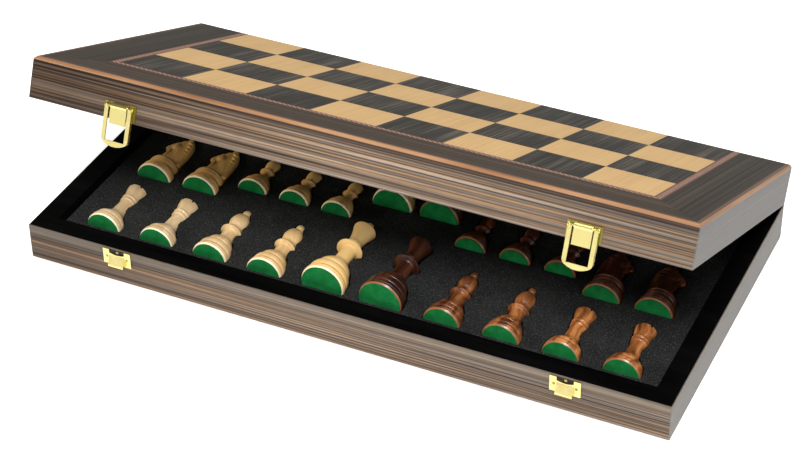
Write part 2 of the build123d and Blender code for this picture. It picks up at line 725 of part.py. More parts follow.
for colour, side in COLOURS.items():
    for kind, (build, height, radius, head, lift, spots) in MEN.items():
        with BuildPart() as men:
            for spot in spots:
                build(seat_at(side, lift, spot))
        save(men.part, f"{colour}_{kind}")

    with BuildPart() as felts:
        for build, height, radius, head, lift, spots in MEN.values():
            for spot in spots:
                with BuildSketch(seat_at(side, lift, spot)) as disc:
                    RegularPolygon(radius - FELT_INSET, SIDES)
                extrude(disc.sketch, amount=FELT)
    save(felts.part, f"{colour}_felts")


# ---- Foam --------------------------------------------------------------------------------------------
def pocket(side, height, radius, head, lift, spot):
    """A man's pocket: a wide well for the foot that narrows to a slot for the body and the head."""
    x, row = side * spot[0], TRAY_FRONT + spot[1]
    wide, narrow = radius + POCKET_CLEARANCE, head * radius + POCKET_CLEARANCE
    foot, neck = row + POCKET_FOOT * radius, row + POCKET_NECK * radius
    ends = (row - POCKET_CLEARANCE, row + height + POCKET_CLEARANCE)
    half = [(wide, ends[0]), (wide, foot), (narrow, neck), (narrow, ends[1])]
    outline = [(x + w, y) for w, y in half] + [(x - w, y) for w, y in reversed(half)]
    prism(Plane.XY, FOAM_FACE + lift - wide, FOAM_FACE, *outline, mode=Mode.SUBTRACT)


tray_side = TRAY_HALF - FOAM_CLEARANCE
tray_y = (TRAY_FRONT + FOAM_CLEARANCE, DEPTH / 2 - WALL - FOAM_CLEARANCE)
with BuildPart() as foam_insert:
    slab(Plane.XY, VENEER + PANEL + FOAM_CLEARANCE, FOAM_FACE, (-tray_side, tray_side), tray_y)
    for side in COLOURS.values():
        for build, height, radius, head, lift, spots in MEN.values():
            for spot in spots:
                pocket(side, height, radius, head, lift, spot)
save(foam_insert.part, "foam_insert")

with BuildPart() as lid_lining:
    lining_top = WALL_TOP - FOAM_CLEARANCE
    lining_y = (BACK + WALL + FOAM_CLEARANCE, FRONT - WALL - FOAM_CLEARANCE)
    slab(lid_frame, lining_top - LINING, lining_top, (-tray_side, tray_side), lining_y)
save(lid_lining.part, "lid_lining")
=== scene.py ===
"""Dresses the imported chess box: turned men in shaped foam, veneered boxes, brass latches and hinges, studio light."""

from math import cos, pi, radians, sin, tau

import bmesh
import bpy
from mathutils import Matrix, Vector


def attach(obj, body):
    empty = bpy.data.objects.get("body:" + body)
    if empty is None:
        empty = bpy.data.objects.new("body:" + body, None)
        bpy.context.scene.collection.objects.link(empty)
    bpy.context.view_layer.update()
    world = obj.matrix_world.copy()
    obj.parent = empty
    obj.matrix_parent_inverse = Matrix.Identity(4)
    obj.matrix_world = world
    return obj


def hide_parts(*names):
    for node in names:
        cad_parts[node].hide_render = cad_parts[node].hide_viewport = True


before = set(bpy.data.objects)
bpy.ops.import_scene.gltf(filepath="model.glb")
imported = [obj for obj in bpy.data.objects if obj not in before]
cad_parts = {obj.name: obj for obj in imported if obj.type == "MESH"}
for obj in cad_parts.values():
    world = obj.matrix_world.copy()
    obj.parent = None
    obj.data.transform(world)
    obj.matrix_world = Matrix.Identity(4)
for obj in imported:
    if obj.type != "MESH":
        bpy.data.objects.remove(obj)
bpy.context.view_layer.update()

MM = 0.001  # pieces are drawn in millimetres and scaled to metres

# ---- Sizes shared with the CAD model, in millimetres ---------------------------------------------------------
SQUARE, BORDER, INLAY_WIDTH = 45.0, 40.0, 5.5
HALF_HEIGHT, WALL, VENEER = 27.0, 14.0, 0.6
LENGTH, DEPTH = 8 * SQUARE + 2 * BORDER, 4 * SQUARE + BORDER
HINGE_SETBACK, RIM_GAP, OPEN_ANGLE = 0.15, 0.1, 23.4
FRONT = HINGE_SETBACK + DEPTH
HINGE = Vector((0, DEPTH / 2 + HINGE_SETBACK, HALF_HEIGHT + RIM_GAP))
TRAY_HALF, TRAY_FRONT = LENGTH / 2 - WALL, WALL - DEPTH / 2
FOAM_FACE = HALF_HEIGHT - 6.5
FELT, FELT_INSET, FOOT_RIM = 0.8, 0.9, 1.75
LATCH_INSET = 66.2
NOTCH_HALF_WIDTH, NOTCH_TOP, NOTCH_FLOOR = 5.5, 1.0, 4.6
KING_RADIUS, QUEEN_RADIUS, BISHOP_RADIUS, ROOK_RADIUS, KNIGHT_RADIUS, PAWN_RADIUS = 14.8, 14.2, 12.4, 12.4, 12.8, 11.0
FACE_TOLERANCE = 1e-5  # metres, for telling faces apart in a material

tilt = radians(OPEN_ANGLE)
# Each half's directions: towards its front, and out of its board face.
HALVES = {
    "base": (Vector((0, -1, 0)), Vector((0, 0, -1))),
    "lid": (Vector((0, -cos(tilt), sin(tilt))), Vector((0, sin(tilt), cos(tilt)))),
}


# ---- Materials -----------------------------------------------------------------------------------------------
class Look:
    """A procedural material, with short calls for the nodes that paint it.

    Its settings are the shader's own inputs, in lower case with underscores.
    """

    def __init__(self, name, **settings):
        self.material = bpy.data.materials.new(name)
        self.material.use_nodes = True
        self.tree = self.material.node_tree
        self.shader = self.tree.nodes["Principled BSDF"]
        for key, value in settings.items():
            self.shader.inputs[key.replace("_", " ").title().replace("Ior", "IOR")].default_value = value

    def node(self, kind, *values, **properties):
        """A node whose inputs take these values or sockets in turn; None leaves an input as it is."""
        made = self.tree.nodes.new("ShaderNode" + kind)
        for key, value in properties.items():
            setattr(made, key, value)
        for socket, value in zip(made.inputs, values):
            if isinstance(value, bpy.types.NodeSocket):
                self.tree.links.new(value, socket)
            elif value is not None:
                socket.default_value = value
        return made

    def math(self, operation, *values):
        return self.node("Math", *values, operation=operation).outputs[0]

    def times(self, a, b):
        return self.math("MULTIPLY", a, b)

    def plus(self, a, b):
        return self.math("ADD", a, b)

    def minus(self, a, b):
        return self.math("SUBTRACT", a, b)

    def inverse(self, factor):
        return self.minus(1.0, factor)

    def size_of(self, value):
        return self.math("ABSOLUTE", value)

    def choose(self, factor, where_one, where_zero):
        """One of two values, by a factor that is 0 or 1."""
        return self.plus(self.times(where_one, factor), self.times(where_zero, self.inverse(factor)))

    def vector(self, x, y, z):
        return self.node("CombineXYZ", x, y, z).outputs[0]

    def object_coords(self):
        return self.node("TexCoord").outputs["Object"]

    def board_coords(self, half):
        """Metres along the hinge, from the hinge to the front, and out of the board face of one half box."""
        here = self.object_coords()
        along = self.node("SeparateXYZ", here).outputs[0]
        from_hinge = self.node("VectorMath", here, HINGE * MM, operation="SUBTRACT").outputs[0]
        forward, outward = [
            self.node("VectorMath", from_hinge, way, operation="DOT_PRODUCT").outputs["Value"]
            for way in HALVES[half]
        ]
        return along, forward, outward

    def band_coords(self, half):
        """For a band that is mitred round the board: its board_coords along and forward, how far in from the end and
        from the front they are, and 1 on its end strips."""
        along, forward, outward = self.board_coords(half)
        from_end = self.minus(LENGTH / 2 * MM, self.size_of(along))
        from_front = self.minus(FRONT * MM, forward)
        return along, forward, from_end, from_front, self.math("LESS_THAN", from_end, from_front)

    def noise(self, vector, scale=1.0, detail=2.0, roughness=0.5):
        made = self.node("TexNoise", vector)
        for key, value in (("Scale", scale), ("Detail", detail), ("Roughness", roughness)):
            made.inputs[key].default_value = value
        return made.outputs[0]

    def ramp(self, factor, *stops):
        """A colour ramp through (position, colour) stops."""
        made = self.node("ValToRGB", factor)
        elements = made.color_ramp.elements
        for position, colour in stops[2:]:
            elements.new(position)
        for element, (position, colour) in zip(elements, sorted(stops)):
            element.position = position
            element.color = (*colour, 1)
        return made.outputs[0]

    def spread(self, factor, low, high):
        """Maps factor from low..high to 0..1, clamped."""
        made = self.node("MapRange", factor, low, high, 0.0, 1.0)
        return made.outputs[0]

    def blend(self, factor, a, b, mode="MIX"):
        made = self.node("Mix", data_type="RGBA", blend_type=mode)
        for socket, value in ((made.inputs[0], factor), (made.inputs[6], a), (made.inputs[7], b)):
            if isinstance(value, bpy.types.NodeSocket):
                self.tree.links.new(value, socket)
            else:
                socket.default_value = value if isinstance(value, float) else (*value, 1)
        return made.outputs[2]

    def colour(self, socket):
        self.tree.links.new(socket, self.shader.inputs["Base Color"])

    def roughness(self, socket):
        self.tree.links.new(socket, self.shader.inputs["Roughness"])

    def bump(self, height, distance, strength=1.0):
        made = self.node("Bump")
        made.inputs["Strength"].default_value = strength
        made.inputs["Distance"].default_value = distance
        self.tree.links.new(height, made.inputs["Height"])
        self.tree.links.new(made.outputs[0], self.shader.inputs["Normal"])


def veneer_streaks(look, along, across, seed):
    """Two factors for a striped veneer: broad bands and fine lines, long along the grain and slightly wavy."""
    wander = look.noise(look.vector(look.times(along, 7.0), look.times(across, 20.0), seed))
    across = look.plus(across, look.times(wander, 0.0008))
    bands = look.noise(look.vector(look.times(along, 1.4), look.times(across, 330.0), seed + 3.1), detail=1.0)
    lines = look.noise(look.vector(look.times(along, 3.0), look.times(across, 820.0), seed + 7.7), detail=3.0)
    return bands, lines


def pores(look, along, across, seed):
    """Short dark dashes along the grain."""
    dashes = look.noise(look.vector(look.times(along, 90.0), look.times(across, 2600.0), seed), detail=1.0)
    return look.spread(dashes, 0.56, 0.72)


def side_veneer(half):
    """Grey-brown striped veneer round a half box; the grain runs along each side."""
    look = Look(f"{half}_side_veneer", roughness=0.5, specular_ior_level=0.2)
    along, forward, outward = look.board_coords(half)
    at_end = look.math("GREATER_THAN", look.size_of(along), (LENGTH / 2 - VENEER) * MM - FACE_TOLERANCE)
    grain = look.choose(at_end, forward, along)
    seed = {"base": 2.0, "lid": 5.0}[half]
    bands, lines = veneer_streaks(look, grain, outward, seed)
    mixed = look.plus(look.times(bands, 0.36), look.times(lines, 0.64))
    pinkish = look.ramp(
        mixed,
        (0.39, (0.024, 0.015, 0.011)),
        (0.45, (0.068, 0.048, 0.036)),
        (0.50, (0.124, 0.094, 0.073)),
        (0.56, (0.185, 0.146, 0.117)),
        (0.62, (0.265, 0.212, 0.172)),
    )
    golden = look.ramp(
        mixed,
        (0.39, (0.022, 0.012, 0.007)),
        (0.45, (0.074, 0.045, 0.027)),
        (0.50, (0.158, 0.097, 0.054)),
        (0.56, (0.268, 0.165, 0.090)),
        (0.62, (0.36, 0.235, 0.14)),
    )
    tint = look.noise(look.vector(look.times(grain, 1.2), look.times(outward, 420.0), seed + 13.0), detail=1.0)
    striped = look.blend(look.spread(tint, 0.47, 0.58), pinkish, golden)
    # the end faces are painted plain grey: a painted sheen, for the glancing light they reflect
    painted_sheen_grey = look.ramp(mixed, (0.3, (0.125, 0.118, 0.108)), (0.5, (0.143, 0.135, 0.123)), (0.7, (0.168, 0.156, 0.141)))
    shown = look.blend(look.times(at_end, 0.93), striped, painted_sheen_grey)
    # painted shade of the light falling off towards the ends: the sheet darkens towards its left end, and the lid's a
    # little towards its right
    painted_end_shade = look.inverse(look.spread(along, -0.19, 0.0))
    painted_end_shade = look.plus(painted_end_shade, look.times(look.spread(along, 0.05, 0.19), {"base": 0.0, "lid": 0.32}[half]))
    shown = look.blend(painted_end_shade, shown, {"base": (0.47, 0.43, 0.40), "lid": (0.33, 0.30, 0.28)}[half], "MULTIPLY")
    if half == "base":
        # the base's front is plain taupe near the rim, then tan, then striped
        below = look.times(outward, 1000.0)
        plain = look.inverse(look.spread(below, 5.0, 8.5))
        shown = look.blend(look.times(plain, 0.7), shown, (0.125, 0.102, 0.080))
        # behind each catch's notch the veneer is painted near-black, a painted shadow in the notch
        from_latch = look.size_of(look.minus(look.size_of(along), (LENGTH / 2 - LATCH_INSET) * MM))
        beside = look.math("LESS_THAN", from_latch, NOTCH_HALF_WIDTH * MM)
        upper = look.math("LESS_THAN", below, NOTCH_FLOOR)
        lower = look.math("GREATER_THAN", below, NOTCH_TOP)
        at_front = look.math("GREATER_THAN", forward, (FRONT - VENEER) * MM)
        painted_notch_shadow = look.times(look.times(beside, at_front), look.times(upper, lower))
        shown = look.blend(painted_notch_shadow, shown, (0.007, 0.0045, 0.002))
    dark = look.times(pores(look, grain, outward, seed), 0.35)
    look.colour(look.blend(dark, shown, (0.025, 0.017, 0.012)))
    look.bump(lines, 0.00006, 0.4)
    return look.material


def border_veneer(half):
    """Darker striped veneer of the board's border, mitred at the corners."""
    look = Look(f"{half}_border_veneer", roughness=0.5, specular_ior_level=0.03)
    along, forward, from_end, from_front, at_end = look.band_coords(half)
    grain = look.choose(at_end, forward, along)
    across = look.choose(at_end, along, forward)
    bands, lines = veneer_streaks(look, grain, across, 11.0)
    mixed = look.plus(look.times(bands, 0.4), look.times(lines, 0.6))
    shown = look.ramp(
        mixed,
        (0.34, (0.020, 0.0142, 0.009)),
        (0.46, (0.036, 0.0253, 0.0164)),
        (0.56, (0.059, 0.0405, 0.026)),
        (0.68, (0.112, 0.076, 0.048)),
    )
    shown = look.blend(at_end, shown, (0.70, 0.78, 0.84), "MULTIPLY")
    dark = look.times(pores(look, grain, across, 3.0), 0.4)
    look.colour(look.blend(dark, shown, (0.02, 0.015, 0.012)))
    look.bump(lines, 0.00004, 0.4)
    return look.material


def square_veneer(half, name, low, middle, high, pore_strength):
    """Squares whose grain runs from the hinge to the front; each square is cut from another part of the sheet."""
    look = Look(f"{half}_{name}", roughness=0.5, specular_ior_level=0.03)
    along, forward, outward = look.board_coords(half)
    column = look.math("FLOOR", look.times(along, 1000 / SQUARE))
    row = look.math("FLOOR", look.times(forward, 1000 / SQUARE))
    seed = look.plus(look.times(column, 3.7), look.times(row, 5.3))
    across = look.plus(along, look.times(seed, 0.11))
    lines = look.noise(look.vector(look.times(forward, 9.0), look.times(across, 900.0), seed), detail=3.0)
    clouds = look.noise(look.vector(look.times(forward, 12.0), look.times(across, 60.0), seed))
    mixed = look.plus(look.times(lines, 0.65), look.times(clouds, 0.35))
    shown = look.ramp(mixed, (0.36, low), (0.5, middle), (0.64, high))
    dark = look.times(pores(look, forward, across, 4.0), pore_strength)
    look.colour(look.blend(dark, shown, tuple(0.5 * c for c in low)))
    look.bump(lines, 0.00003, 0.35)
    return look.material


def rope_inlay(half):
    """Band of slanting light and red-brown chips between two thin lines."""
    look = Look(f"{half}_rope_inlay", roughness=0.5, specular_ior_level=0.03)
    pitch, lean, line_at, line_half_width = 3.4, 0.3, 2.0, 0.28
    along, forward, from_end, from_front, at_end = look.band_coords(half)
    run = look.choose(at_end, forward, along)
    inward = look.math("MINIMUM", from_end, from_front)
    across = look.times(look.minus(inward, (BORDER - INLAY_WIDTH / 2) * MM), 1000.0)
    slope = look.times(across, look.minus(lean, look.times(at_end, 2 * lean)))
    slant = look.math("FRACT", look.plus(look.times(run, 1000 / pitch), slope))
    chip = look.spread(look.size_of(look.minus(slant, 0.5)), 0.20, 0.27)
    off_middle = look.size_of(across)
    inside = look.math("LESS_THAN", off_middle, INLAY_WIDTH / 2 - 1.0)
    line = look.math("LESS_THAN", look.size_of(look.minus(off_middle, line_at)), line_half_width)
    tint = look.noise(look.vector(look.times(run, 700.0), look.times(across, 1.5), 1.0))
    red = look.ramp(tint, (0.35, (0.110, 0.042, 0.030)), (0.65, (0.20, 0.085, 0.062)))
    light = look.ramp(tint, (0.35, (0.22, 0.125, 0.092)), (0.65, (0.42, 0.29, 0.235)))
    shown = look.blend(look.times(chip, inside), red, light)
    look.colour(look.blend(line, shown, (0.12, 0.06, 0.03)))
    look.bump(chip, 0.00004, 0.3)
    return look.material


def edge_line(half):
    """Light line round the board face: orange-brown on the face, pale on the bevel."""
    look = Look(f"{half}_edge_line", roughness=0.45, specular_ior_level=0.1)
    along, forward, outward = look.board_coords(half)
    lines = look.noise(look.vector(look.times(along, 12.0), look.times(forward, 12.0), look.times(outward, 600.0)))
    pale = look.ramp(lines, (0.35, (0.20, 0.095, 0.045)), (0.5, (0.27, 0.14, 0.070)), (0.68, (0.34, 0.19, 0.10)))
    on_face = look.math("GREATER_THAN", outward, (HALF_HEIGHT + RIM_GAP) * MM - FACE_TOLERANCE)
    shown = look.blend(on_face, pale, (0.095, 0.042, 0.019))
    look.colour(look.blend({"base": 0.6, "lid": 0.0}[half], shown, (0.05, 0.035, 0.025)))
    return look.material


def black_wood():
    """Black lacquer over open-grained wood."""
    look = Look("blackened_wood", specular_ior_level=0.02)
    here = look.object_coords()
    grain = look.noise(look.node("VectorMath", here, (14, 160, 160), operation="MULTIPLY").outputs[0], detail=4.0)
    look.roughness(look.node("MapRange", grain, 0.3, 0.7, 0.42, 0.56).outputs[0])
    look.colour(look.ramp(grain, (0.3, (0.001, 0.001, 0.001)), (0.75, (0.003, 0.003, 0.003))))
    look.bump(grain, 0.00005, 0.35)
    return look.material


def plain_wood():
    """Bare wood of the panels under the board faces."""
    look = Look("panel_wood", roughness=0.6)
    here = look.object_coords()
    grain = look.noise(look.node("VectorMath", here, (6, 240, 240), operation="MULTIPLY").outputs[0], detail=3.0)
    look.colour(look.ramp(grain, (0.3, (0.16, 0.10, 0.065)), (0.7, (0.27, 0.175, 0.11))))
    look.bump(grain, 0.00005, 0.4)
    return look.material


def foam_look():
    """Charcoal foam: fine open cells, some of which catch the light."""
    look = Look("foam", roughness=0.95, specular_ior_level=0.08)
    here = look.object_coords()
    cells = look.noise(here, scale=1500.0, detail=2.0, roughness=0.7)
    specks = look.spread(cells, 0.56, 0.74)
    clouds = look.noise(here, scale=45.0)
    ground = look.ramp(clouds, (0.3, (0.011, 0.012, 0.012)), (0.7, (0.019, 0.020, 0.0195)))
    look.colour(look.blend(specks, ground, (0.115, 0.115, 0.112)))
    look.bump(cells, 0.0005, 0.8)
    return look.material


def felt_look():
    """Green felt with fine fibres."""
    look = Look("green_felt", roughness=0.95, specular_ior_level=0.1)
    here = look.object_coords()
    fibres = look.noise(here, scale=2200.0, detail=3.0, roughness=0.7)
    clouds = look.noise(here, scale=120.0)
    mixed = look.plus(look.times(fibres, 0.6), look.times(clouds, 0.4))
    look.colour(look.ramp(mixed, (0.36, (0.002, 0.080, 0.016)), (0.64, (0.012, 0.21, 0.052))))
    look.bump(fibres, 0.00025, 0.7)
    return look.material


def brass_look(name, low, high):
    """Pale polished brass."""
    look = Look(name, metallic=1.0)
    here = look.object_coords()
    cloudy = look.noise(here, scale=160.0)
    look.colour(look.ramp(cloudy, (0.3, low), (0.7, high)))
    look.roughness(look.node("MapRange", cloudy, 0.3, 0.7, 0.24, 0.32).outputs[0])
    return look.material


def plate_look():
    """The latch plate's brass: painted dark olive where it lies on the wood, a painted shade, and pale on the tongue
    that stands out.
    """
    look = Look("latch_plate_brass", metallic=1.0, roughness=0.28)
    along, forward, outward = look.board_coords("lid")
    standing = look.spread(forward, (FRONT + 1.0) * MM, (FRONT + 1.6) * MM)
    # painted shade: the plate behind the tongue is painted dark olive
    look.colour(look.blend(standing, (0.36, 0.31, 0.07), (0.80, 0.69, 0.275)))
    return look.material


def turned_wood(name, dark, middle, light, rim, outer, inner, **settings):
    """Wood turned along a man's own Z.

    The rim of its foot is painted paler, a painted highlight on its chamfer. The men nearest the middle take the inner
    colour, and the front row turns to the outer colours towards its ends: painted shade on the white men at the left
    end, painted light on the dark men at the right. The rows behind the front row are darkened and warmed, painted
    shade of the lid over them.
    """
    look = Look(name, **settings)
    here = look.object_coords()
    place = look.node("ObjectInfo").outputs["Location"]
    shifted = look.node("VectorMath", here, place, operation="ADD").outputs[0]
    bent = look.noise(shifted, scale=28.0)
    stretched = look.node("VectorMath", shifted, (260, 110, 16), operation="MULTIPLY").outputs[0]
    moved = look.node("VectorMath", stretched, look.vector(look.times(bent, 6.0), 0.0, 0.0), operation="ADD")
    growth = look.noise(moved.outputs[0], detail=2.0)
    hairs = look.noise(look.node("VectorMath", shifted, (1500, 1500, 60), operation="MULTIPLY").outputs[0])
    mixed = look.plus(look.times(growth, 0.75), look.times(hairs, 0.25))
    shown = look.ramp(mixed, (0.34, dark), (0.5, middle), (0.64, light))
    across, back = look.node("SeparateXYZ", place).outputs[:2]
    across = look.size_of(across)
    at_front = look.math("LESS_THAN", back, -0.06)
    # painted light and shade: the front row's end men are darker and greyer for the white men, lighter and more orange
    # for the dark men
    outer_light_and_shade = look.ramp(mixed, (0.36, outer[0]), (0.5, outer[1]), (0.62, outer[2]))
    shown = look.blend(look.times(look.spread(across, 0.02, 0.14), at_front), shown, outer_light_and_shade)
    # painted shade of the lid: the rows behind the front row are darkened and warmed
    shown = look.blend(look.inverse(at_front), shown, (0.88, 0.80, 0.66), "MULTIPLY")
    by_middle = look.inverse(look.spread(across, 0.024, 0.05))
    shown = look.blend(look.times(by_middle, 0.6), shown, inner)
    # painted highlight: the foot's chamfer is painted in the paler rim colour
    foot = look.math("LESS_THAN", look.node("SeparateXYZ", here).outputs[2], FOOT_RIM * MM)
    look.colour(look.blend(look.times(foot, 0.75), shown, rim))
    look.bump(hairs, 0.00003, 0.3)
    return look.material


# ---- Meshes --------------------------------------------------------------------------------------------------
def finish_mesh(name, made, material, smooth_angle=40):
    """Turns a bmesh drawn in millimetres into a mesh in metres, smooth up to that angle."""
    bmesh.ops.remove_doubles(made, verts=made.verts, dist=1e-4)
    bmesh.ops.recalc_face_normals(made, faces=made.faces)
    bmesh.ops.scale(made, vec=(MM, MM, MM), verts=made.verts)
    for face in made.faces:
        face.smooth = True
    for edge in made.edges:
        edge.smooth = len(edge.link_faces) == 2 and edge.calc_face_angle(0) < radians(smooth_angle)
    mesh = bpy.data.meshes.new(name)
    made.to_mesh(mesh)
    made.free()
    mesh.materials.append(material)
    return mesh


def piece(name, mesh, body, nodes, matrix=None):
    """A piece that stands for CAD nodes and rides on their body."""
    made = bpy.data.objects.new(name, mesh)
    bpy.context.scene.collection.objects.link(made)
    if matrix is not None:
        made.matrix_world = matrix
    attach(made, body)
    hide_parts(*nodes)
    return made


def curve(bends, steps=6):
    """Points of a profile: each bend is (height, radius) for a straight run or adds the control point it bows to."""
    points = [bends[0]]
    for bend in bends[1:]:
        end, control = bend[:2], bend[2:]
        if not control:
            points.append(end)
            continue
        (h0, r0), (h1, r1), (hc, rc) = points[-1], end, control
        for k in range(1, steps + 1):
            t = k / steps
            a, b, c = (1 - t) ** 2, 2 * t * (1 - t), t * t
            points.append((a * h0 + b * hc + c * h1, a * r0 + b * rc + c * r1))
    return points


def lathe(made, profile, sides=56):
    """Adds the surface that a (height, radius) profile sweeps round Z, closed where it meets the axis."""
    rings = []
    for height, radius in profile:
        if radius < 1e-6:
            rings.append([made.verts.new((0, 0, height))])
        else:
            turns = [tau * k / sides for k in range(sides)]
            rings.append([made.verts.new((radius * cos(a), radius * sin(a), height)) for a in turns])
    for lower, upper in zip(rings, rings[1:]):
        for k in range(sides):
            after = (k + 1) % sides
            corners = [lower[k % len(lower)], lower[after % len(lower)]]
            corners += [upper[after % len(upper)], upper[k % len(upper)]]
            corners = list(dict.fromkeys(corners))
            if len(corners) > 2:
                made.faces.new(corners)
    return rings


def pedestal(radius, neck_height, neck, shoulder=0.95):
    """The foot every man shares: a chamfered band, a rounded step, a dome and a hollow up to the neck."""
    r, u, s = radius, neck_height / 2, radius * shoulder
    return [
        (FELT, 0),
        (FELT, 0.935 * r),
        (FELT + 0.075 * r, r),
        (0.20 * u, r),
        (0.21 * u, 0.975 * r),
        (0.24 * u, 0.975 * r),
        (0.26 * u, 0.995 * r),
        (0.36 * u, 0.975 * r, 0.32 * u, 1.0 * r),
        (0.43 * u, 0.90 * s, 0.43 * u, 0.95 * r),
        (0.48 * u, 0.89 * s),
        (0.56 * u, 1.0 * s, 0.49 * u, 1.0 * s),
        (0.82 * u, 0.96 * s, 0.72 * u, 1.01 * s),
        (0.92 * u, 0.77 * s, 0.92 * u, 0.90 * s),
        (0.98 * u, 0.755 * s),
        (1.05 * u, 0.83 * s, 0.99 * u, 0.83 * s),
        (1.38 * u, 0.72 * s, 1.24 * u, 0.82 * s),
        (1.74 * u, 0.45 * s, 1.58 * u, 0.60 * s),
        (neck_height, neck, 1.84 * u, neck),
    ]


# ---- Camera, light and floor ---------------------------------------------------------------------------------
# The camera's place, direction and lens were solved from the photo's perspective.
camera_data = bpy.data.cameras.new("camera")
camera_data.sensor_width = 36
camera_data.lens = 98.66
camera = bpy.data.objects.new("camera", camera_data)
bpy.context.scene.collection.objects.link(camera)
look_dir = Vector((-0.34232, 0.72703, -0.59519)).normalized()
right = Vector((0.90760, 0.41974, -0.00929)).normalized()
up = right.cross(look_dir)
turned = Matrix((right, up, -look_dir)).transposed()
camera.matrix_world = Matrix.Translation((0.49599, -1.05757, 0.87743)) @ turned.to_4x4()
bpy.context.scene.camera = camera


def area_light(name, place, target, size, power, colour=(1, 1, 1)):
    """A rectangular light that faces its target."""
    data = bpy.data.lights.new(name, "AREA")
    data.shape = "RECTANGLE"
    data.size, data.size_y = size
    data.energy = power
    data.color = colour
    light = bpy.data.objects.new(name, data)
    bpy.context.scene.collection.objects.link(light)
    light.location = place
    light.rotation_euler = (Vector(target) - Vector(place)).to_track_quat("-Z", "Y").to_euler()
    return light


area_light("key", (0.45, -1.0, 1.6), (0.0, 0, 0.03), (0.7, 0.6), 42)
front = area_light("front", (0.3, -2.1, 0.45), (0.0, 0, 0.04), (1.6, 0.5), 12)
left = area_light("left", (-1.4, -0.35, 0.38), (0.0, 0, 0.03), (0.5, 0.5), 10, (1.0, 0.9, 0.72))
front.visible_glossy = left.visible_glossy = False  # they would show as hard spots in the men's polish
area_light("top", (0.1, 0.5, 1.8), (0, 0, 0.03), (0.8, 0.6), 11)
area_light("fill", (1.7, -0.7, 0.6), (0, 0, 0.03), (0.8, 0.8), 5)
card = area_light("front_card", (-0.6, -2.6, 0.75), (0, 0, 0.1), (3.4, 1.5), 15)
card.visible_diffuse = False  # only the brass and the polish reflect it

# The backdrop is white to the camera, and dimmer and slightly warm as light.
world = bpy.data.worlds.new("studio")
world.use_nodes = True
backdrop = world.node_tree.nodes["Background"]
backdrop.inputs["Color"].default_value = (1, 0.97, 0.92, 1)
rays = world.node_tree.nodes.new("ShaderNodeLightPath")
strength = world.node_tree.nodes.new("ShaderNodeMapRange")
world.node_tree.links.new(rays.outputs["Is Camera Ray"], strength.inputs["Value"])
world.node_tree.links.new(strength.outputs[0], backdrop.inputs["Strength"])
strength.inputs["To Min"].default_value, strength.inputs["To Max"].default_value = 0.15, 1.0
bpy.context.scene.world = world
bpy.context.scene.view_settings.view_transform = "Standard"

floor_look = Look(
    "floor", base_color=(0.93, 0.93, 0.93, 1), roughness=0.9, emission_color=(1, 1, 1, 1), emission_strength=0.5
)
bpy.ops.mesh.primitive_plane_add(size=12, location=(0, 0, 0))
floor = bpy.context.object
floor.name = "floor"
floor.data.materials.append(floor_look.material)


# ---- Materials of the CAD pieces that stay -------------------------------------------------------------------
def dress(node, material, bevel=0.0):
    """Gives a CAD node its material and softened edges."""
    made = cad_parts[node]
    for slot in made.material_slots:
        slot.material = material
    if bevel:
        rounded = made.modifiers.new("softened_edges", "BEVEL")
        rounded.width = bevel * MM
        rounded.segments = 2
        rounded.limit_method = "ANGLE"
        rounded.angle_limit = radians(40)
        rounded.harden_normals = True


# Low, middle and high colours of the squares' veneers, and how strongly their pores show.
LIGHT_TONES = (0.52, 0.33, 0.145), (0.56, 0.36, 0.158), (0.59, 0.39, 0.175), 0.08
DARK_TONES = (0.014, 0.0122, 0.0095), (0.027, 0.0235, 0.018), (0.110, 0.092, 0.073), 0.2
black, plain, foam, felt = black_wood(), plain_wood(), foam_look(), felt_look()
brass = brass_look("brass", (0.76, 0.65, 0.255), (0.83, 0.72, 0.30))
# darker brass for the nail and screw heads: painted shade for the darker reflections and small shadows of their heads
dull_brass = brass_look("dull_brass", (0.30, 0.25, 0.06), (0.45, 0.38, 0.12))
catch_brass = brass_look("catch_brass", (0.68, 0.575, 0.225), (0.76, 0.65, 0.275))
for half in HALVES:
    for side in ("front", "back", "left", "right"):
        dress(f"{half}_{side}_wall", black, 0.25)
    dress(f"{half}_panel", plain)
    dress(f"{half}_side_veneer", side_veneer(half))
    dress(f"{half}_border_veneer", border_veneer(half))
    dress(f"{half}_rope_inlay", rope_inlay(half))
    dress(f"{half}_edge_line", edge_line(half))
    dress(f"{half}_light_squares", square_veneer(half, "light_veneer", *LIGHT_TONES))
    dress(f"{half}_dark_squares", square_veneer(half, "dark_veneer", *DARK_TONES))
    dress(f"{half}_hinge_leaves", brass, 0.15)
    dress(f"{half}_hinge_screws", dull_brass)
for node in ("hinge_pins", "latch_pins"):
    dress(node, brass)
for node in ("latch_plate_nails", "catch_nails"):
    dress(node, dull_brass)
dress("latch_plates", plate_look(), 0.2)
dress("latch_catches", catch_brass, 0.2)
for node in ("left_hasp", "right_hasp"):
    dress(node, brass, 0.38)
dress("lid_lining", foam)


# ---- Chessmen ------------------------------------------------------------------------------------------------
def king_profile():
    return pedestal(KING_RADIUS, 28.6, 5.0) + [
        (37.6, 5.0),
        (39.9, 6.0, 39.5, 5.1),
        (40.1, 8.5),
        (40.5, 9.0),
        (41.0, 9.0),
        (41.4, 8.4),
        (42.6, 6.4, 41.8, 6.8),
        (44.4, 6.2, 43.8, 6.8),
        (44.9, 5.4),
        (46.2, 5.6, 45.4, 5.9),
        (47.2, 5.0, 46.8, 5.3),
        (51.0, 5.0),
        (62.4, 7.8, 57.5, 6.0),
        (63.4, 7.6, 63.2, 8.1),
        (66.0, 3.0, 65.4, 6.2),
        (66.4, 0.0),
    ]


